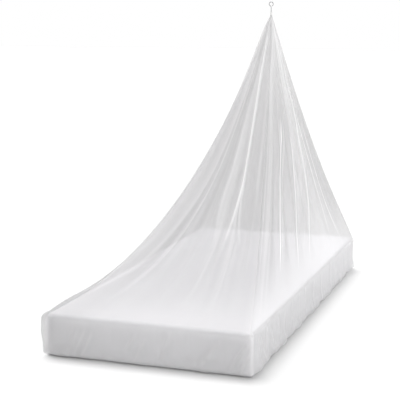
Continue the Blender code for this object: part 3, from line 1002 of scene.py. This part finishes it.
class CANOPY_OT_binding(bpy.types.Operator):
    """Winds the tape that binds the gathered neck: a turned sleeve with a groove between each wrap and the next"""

    bl_idname = "canopy.binding"
    bl_label = "Wind the Binding"

    def execute(self, context):
        start_clean()
        settings = context.scene.canopy_hook
        radius = (BINDING_HIGH.x - BINDING_LOW.x) / 2
        tall = BINDING_HIGH.z - BINDING_LOW.z
        middle = (BINDING_HIGH.z + BINDING_LOW.z) / 2
        bpy.ops.mesh.primitive_cylinder_add(
            vertices=BINDING_FACETS, radius=radius, depth=tall, end_fill_type="NGON", location=(0, NECK_Y, middle)
        )
        made = context.object
        made.name = made.data.name = "tape_binding"
        bpy.ops.object.transform_apply(location=True, rotation=True, scale=True)
        self.bore(made, max, radius - WIRE_RADIUS - STEM_GAP, -BINDING_CAP)
        self.bore(made, min, radius - NECK_RADIUS - NET_ROOM, tall - BINDING_CAP)
        self.join_bores(made)
        self.wrap(made, settings.wraps, radius)
        made.data.shade_smooth()
        bpy.ops.object.shade_smooth_by_angle(angle=math.radians(50))
        made.data.materials.append(tape_material(settings))
        finish_piece(made, "neck_binding")
        return {"FINISHED"}

    def bore(self, made, which, wall, sink):
        """Sinks a round hole into the sleeve's upper or lower end, which is max or min, and takes its bottom away."""
        ends = [face for face in made.data.polygons if len(face.vertices) == BINDING_FACETS]
        end = which(ends, key=lambda face: face.center.z).index
        pick(made, "FACE", lambda face: face.index == end)
        bpy.ops.mesh.inset(thickness=wall, depth=0)
        bpy.ops.mesh.extrude_region_move(TRANSFORM_OT_translate={"value": (0, 0, sink)})
        bpy.ops.mesh.delete(type="FACE")
        bpy.ops.object.mode_set(mode="OBJECT")

    def join_bores(self, made):
        """Bridges the hole for the stem to the wider bore below it, where both end."""
        height = BINDING_HIGH.z - BINDING_CAP
        pick(made, "EDGE", lambda edge: all(abs(made.data.vertices[i].co.z - height) < LEVEL for i in edge.vertices))
        bpy.ops.mesh.bridge_edge_loops()

    def wrap(self, made, wraps, radius):
        """Cuts a ring for each wrap of tape and draws it in a little, and folds the sleeve's ends over softly."""
        tall = BINDING_HIGH.z - BINDING_LOW.z
        drawn = {BINDING_LOW.z + tall * turn / wraps: GROOVE_DEPTH for turn in range(1, wraps)}
        for height in drawn:
            for place in (height - GROOVE_WIDTH, height, height + GROOVE_WIDTH):
                bpy.ops.mesh.select_all(action="SELECT")
                bpy.ops.mesh.bisect(plane_co=(0, 0, place), plane_no=(0, 0, 1))
        bpy.ops.mesh.select_all(action="SELECT")
        bpy.ops.mesh.normals_make_consistent(inside=False)
        bpy.ops.object.mode_set(mode="OBJECT")
        drawn |= {BINDING_LOW.z: END_FOLD, BINDING_HIGH.z: END_FOLD}
        for vertex in made.data.vertices:
            flat = Vector((vertex.co.x, vertex.co.y - NECK_Y))
            for height, deep in drawn.items():
                if abs(vertex.co.z - height) < LEVEL and flat.length > radius - SKIN:
                    vertex.co.x *= 1 - deep / radius
                    vertex.co.y = NECK_Y + flat.y * (1 - deep / radius)


class CANOPY_OT_hook(bpy.types.Operator):
    """Bends the hook from round wire: an open ring, a bend as round as it, and the stem down into the binding"""

    bl_idname = "canopy.hook"
    bl_label = "Bend the Hook"

    def execute(self, context):
        start_clean()
        settings = context.scene.canopy_hook
        ring = Vector((0, NECK_Y, RING_CENTRE_Z))
        mouth = ring + Vector((math.cos(RING_MOUTH), 0, math.sin(RING_MOUTH))) * RING_RADIUS
        bpy.ops.mesh.primitive_circle_add(
            vertices=WIRE_FACETS, radius=WIRE_RADIUS, fill_type="NGON", location=mouth, rotation=(0, -RING_MOUTH, 0)
        )
        made = context.object
        made.name = made.data.name = "wire_hook"
        bpy.ops.object.transform_apply(location=True, rotation=True, scale=True)
        bend = ring + Vector((math.cos(RING_LEAVES), 0, math.sin(RING_LEAVES))) * 2 * RING_RADIUS
        pick(made, "FACE", lambda face: True)
        bpy.ops.mesh.spin(steps=RING_STEPS, angle=RING_LEAVES - RING_MOUTH, center=ring, axis=(0, 1, 0))
        bpy.ops.mesh.spin(steps=BEND_STEPS, angle=RING_LEAVES - math.pi, center=bend, axis=(0, -1, 0))
        stem_top = RING_CENTRE_Z + 2 * RING_RADIUS * math.sin(RING_LEAVES)
        down = BINDING_HIGH.z - STEM_IN_BINDING - stem_top
        bpy.ops.mesh.extrude_region_move(TRANSFORM_OT_translate={"value": (0, 0, down)})
        bpy.ops.mesh.select_all(action="SELECT")
        bpy.ops.mesh.remove_doubles(threshold=0.00002)
        bpy.ops.mesh.fill_holes(sides=WIRE_FACETS)
        bpy.ops.mesh.normals_make_consistent(inside=False)
        bpy.ops.object.mode_set(mode="OBJECT")
        pick(made, "FACE", lambda face: len(face.vertices) == WIRE_FACETS)
        bpy.ops.mesh.region_to_loop()
        bpy.ops.mesh.bevel(offset=WIRE_END, segments=3, profile=0.5)
        bpy.ops.object.mode_set(mode="OBJECT")
        made.data.shade_smooth()
        bpy.ops.object.shade_smooth_by_angle(angle=math.radians(40))
        made.data.materials.append(wire_material(settings))
        finish_piece(made, "hanging_hook")
        return {"FINISHED"}


class CANOPY_OT_stage(bpy.types.Operator):
    """Lays the pale floor, and sets the soft lights and the camera"""

    bl_idname = "canopy.stage"
    bl_label = "Set the Stage"

    def execute(self, context):
        start_clean()
        settings = context.scene.canopy_stage
        bpy.ops.mesh.primitive_plane_add(size=FLOOR_WIDTH, location=(0, 0, 0))
        floor = context.object
        floor.name = floor.data.name = "studio_floor"
        floor.data.materials.append(floor_material(settings))
        self.set_world(context, settings)
        for name, setting, towards, softness in SUNS:
            sun = self.light(context, "SUN", name, getattr(settings, setting), (0, 0, 0), towards)
            sun.angle = math.radians(softness)
        towards = Vector(SOFTBOX_AIM) - Vector(SOFTBOX_AT)
        self.light(context, "AREA", "side_softbox", settings.side, SOFTBOX_AT, towards).size = SOFTBOX_WIDTH
        self.set_camera(context)
        context.scene.view_settings.view_transform = "Standard"
        context.scene.view_settings.look = "None"
        context.scene.cycles.transparent_max_bounces = 32
        return {"FINISHED"}

    def light(self, context, kind, name, strength, place, towards):
        """Adds a light of one kind and returns its data, for its width to be set."""
        light = bpy.data.lights.new(name, kind)
        light.energy = strength
        made = bpy.data.objects.new(name, light)
        made.location = place
        made.rotation_euler = Vector(towards).to_track_quat("-Z", "Y").to_euler()
        context.scene.collection.objects.link(made)
        return light

    def set_world(self, context, settings):
        """White to the camera, and a softer light from all round."""
        world = bpy.data.worlds.new("soft_studio")
        world.use_nodes = True
        context.scene.world = world
        tree = world.node_tree
        white = (1, 1, 1, 1)
        seen = plugged(tree, tree.nodes["Background"], {"Color": white, "Strength": 1.0}).outputs[0]
        lights = node(tree, "ShaderNodeBackground", {"Color": white, "Strength": settings.sky}).outputs[0]
        to_camera = node(tree, "ShaderNodeLightPath").outputs["Is Camera Ray"]
        plugged(tree, tree.nodes["World Output"], {"Surface": mix_shaders(tree, to_camera, lights, seen)})

    def set_camera(self, context):
        eye = bpy.data.cameras.new("canopy_camera")
        eye.lens = CAMERA_LENS
        eye.sensor_width = SENSOR
        camera = bpy.data.objects.new("canopy_camera", eye)
        camera.location = CAMERA_AT
        camera.rotation_euler = (math.pi / 2 - CAMERA_DIP, 0, CAMERA_TURN)
        context.scene.collection.objects.link(camera)
        context.scene.camera = camera


class CANOPY_PT_panel(bpy.types.Panel):
    """Lists the canopy's steps and settings"""

    bl_idname = "CANOPY_PT_panel"
    bl_label = "Mosquito Net Canopy"
    bl_space_type = "VIEW_3D"
    bl_region_type = "UI"
    bl_category = "Canopy"

    def draw(self, context):
        for group, steps in PANEL.items():
            box = self.layout.box()
            settings = getattr(context.scene, group)
            for name in settings.__annotations__:
                box.prop(settings, name)
            for step in steps:
                box.operator(step)


PANEL = {
    "canopy_mattress": ("canopy.mattress",),
    "canopy_hook": ("canopy.binding", "canopy.hook"),
    "canopy_net": ("canopy.net",),
    "canopy_stage": ("canopy.stage",),
}
GROUPS = dict(zip(PANEL, (MattressSettings, HookSettings, NetSettings, StageSettings)))
CLASSES = (
    *GROUPS.values(),
    CANOPY_OT_mattress,
    CANOPY_OT_binding,
    CANOPY_OT_hook,
    CANOPY_OT_net,
    CANOPY_OT_stage,
    CANOPY_PT_panel,
)


def register():
    for one in CLASSES:
        bpy.utils.register_class(one)
    for name, group in GROUPS.items():
        setattr(bpy.types.Scene, name, PointerProperty(type=group))


def unregister():
    for name in GROUPS:
        delattr(bpy.types.Scene, name)
    for one in reversed(CLASSES):
        bpy.utils.unregister_class(one)


def main():
    register()
    bpy.ops.canopy.mattress()
    bpy.ops.canopy.binding()
    bpy.ops.canopy.hook()
    bpy.ops.canopy.net()
    bpy.ops.canopy.stage()


if __name__ == "__main__":
    main()
